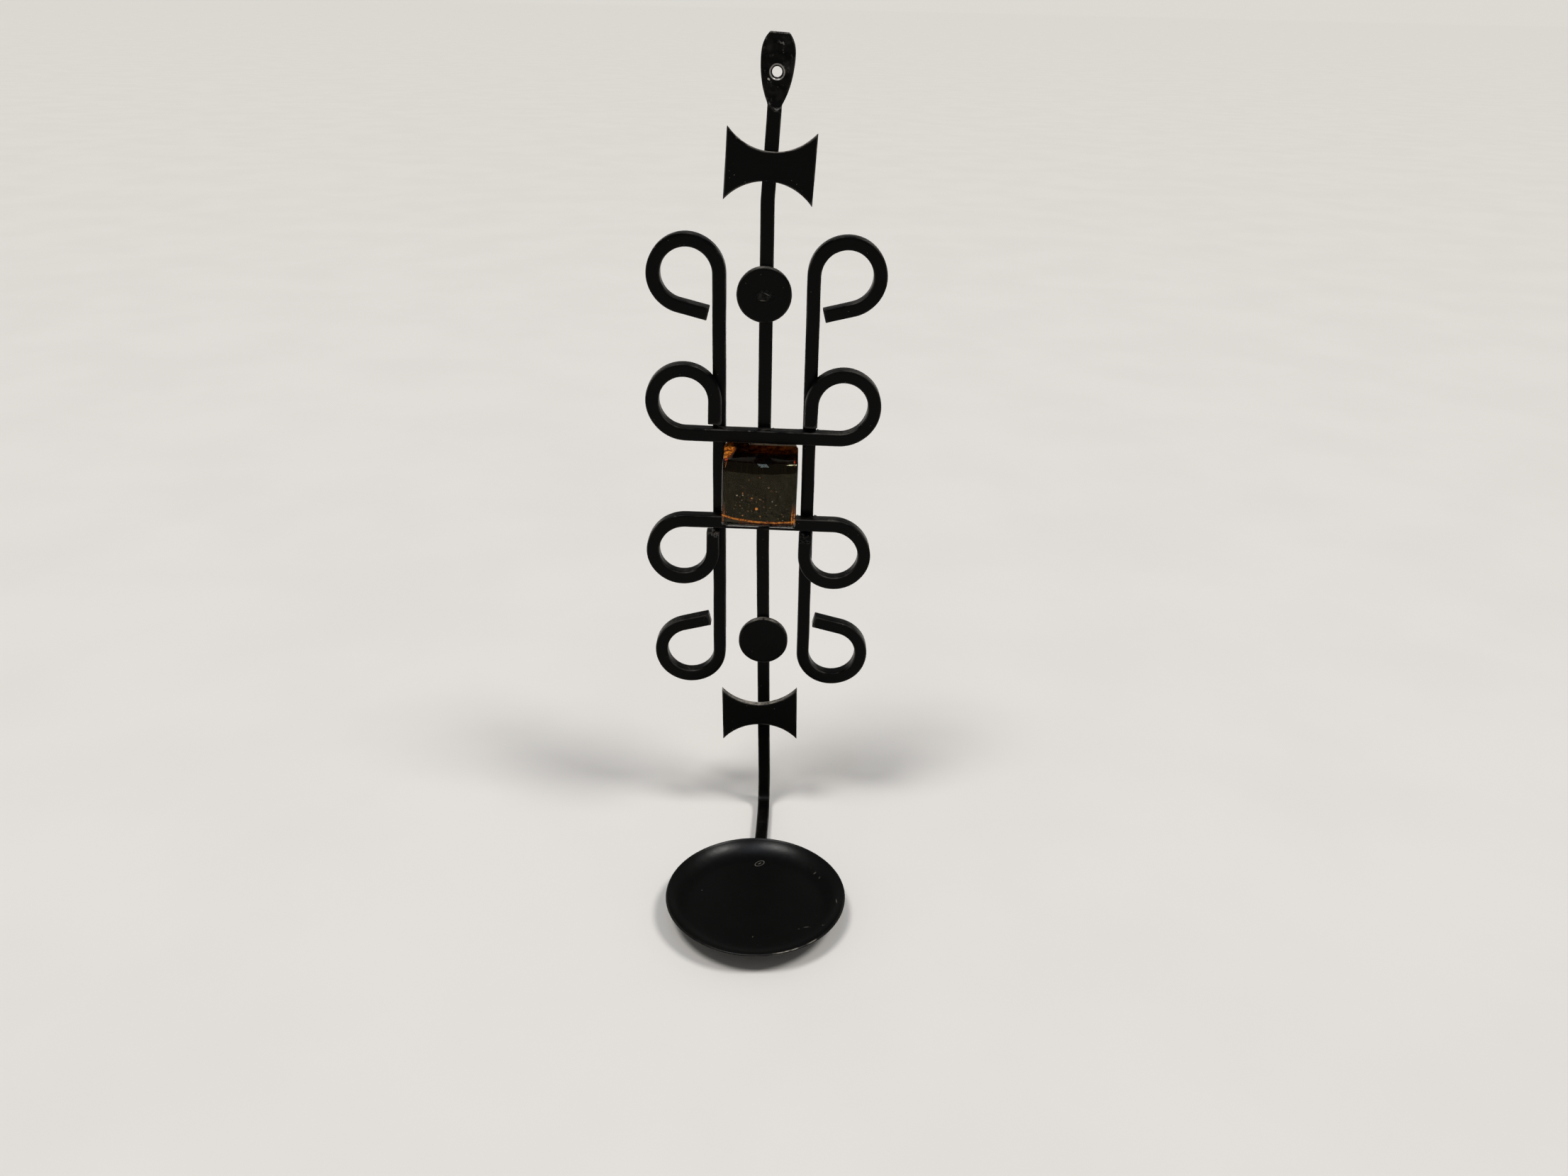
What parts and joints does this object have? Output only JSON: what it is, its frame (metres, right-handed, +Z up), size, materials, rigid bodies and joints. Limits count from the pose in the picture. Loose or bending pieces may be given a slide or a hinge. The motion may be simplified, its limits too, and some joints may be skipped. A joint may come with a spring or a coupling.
{
  "type": "wall candle holder",
  "caption": "Black wrought-iron wall candle holder: scrolled square bars, axe-shaped plates and discs on a spine, an amber glass block and a shallow candle dish.",
  "frame": {"origin": "centre of the hanging hole, on the wall plane that the backs of the bars lie against", "axes": "+X to the right seen from the room, +Y into the wall, +Z up along the middle of the spine"},
  "size_m": [0.1078, 0.1329, 0.3762],
  "materials": {
    "black_paint": "satin black paint on forged steel bar and plate, dusty and worn at the edges",
    "painted_weld": "rough weld metal under black paint",
    "dish_paint": "semi-matt black paint on pressed steel sheet, scratched, chipped at the rim",
    "amber_glass": "cast amber glass with small bubbles and rounded front edges",
    "dark_glue": "thin bed of set dark adhesive"
  },
  "bodies": {
    "root": {"spine_bar": "black_paint", "left_scroll_bar": "black_paint", "right_scroll_bar": "black_paint", "upper_cross_scroll": "black_paint", "lower_cross_scroll": "black_paint", "upper_axe_plate": "black_paint", "lower_axe_plate": "black_paint", "upper_disc": "black_paint", "lower_disc": "black_paint", "glass_back_plate": "black_paint", "upper_cross_welds": "painted_weld", "lower_cross_welds": "painted_weld", "upper_plate_welds": "painted_weld", "lower_plate_welds": "painted_weld", "upper_disc_welds": "painted_weld", "lower_disc_welds": "painted_weld", "back_plate_welds": "painted_weld", "upper_curl_welds": "painted_weld", "lower_curl_welds": "painted_weld", "dish_welds": "painted_weld", "candle_dish": "dish_paint", "glass_block": "amber_glass", "glass_glue_bed": "dark_glue"}
  },
  "joints": []
}
